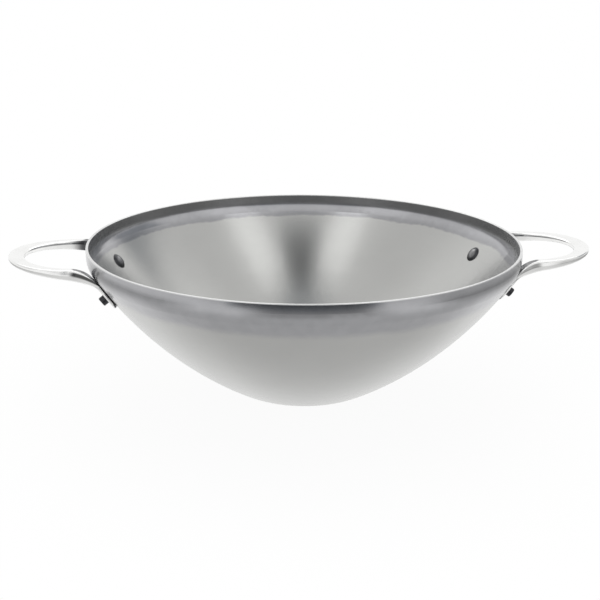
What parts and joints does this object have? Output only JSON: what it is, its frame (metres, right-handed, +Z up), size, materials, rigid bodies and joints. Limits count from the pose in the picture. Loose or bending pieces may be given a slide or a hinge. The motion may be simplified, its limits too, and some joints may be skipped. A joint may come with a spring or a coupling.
{
  "type": "wok",
  "caption": "Round carbon steel wok with a flat base, an upright collar and riveted polished steel loop handles on opposite sides.",
  "frame": {"origin": "centre of the flat base, on its underside", "axes": "+X through both handles towards the right handle, +Y away from the viewer, +Z up"},
  "size_m": [0.432, 0.32, 0.116],
  "materials": {
    "carbon_steel": "bare carbon steel, finely brushed round the bowl",
    "handle_steel": "cast stainless steel, polished",
    "rivet_steel": "dark satin steel"
  },
  "bodies": {
    "root": {"bowl": "carbon_steel", "handle_left": "handle_steel", "handle_right": "handle_steel", "rivet_left_back": "rivet_steel", "rivet_left_front": "rivet_steel", "rivet_right_back": "rivet_steel", "rivet_right_front": "rivet_steel"}
  },
  "joints": []
}
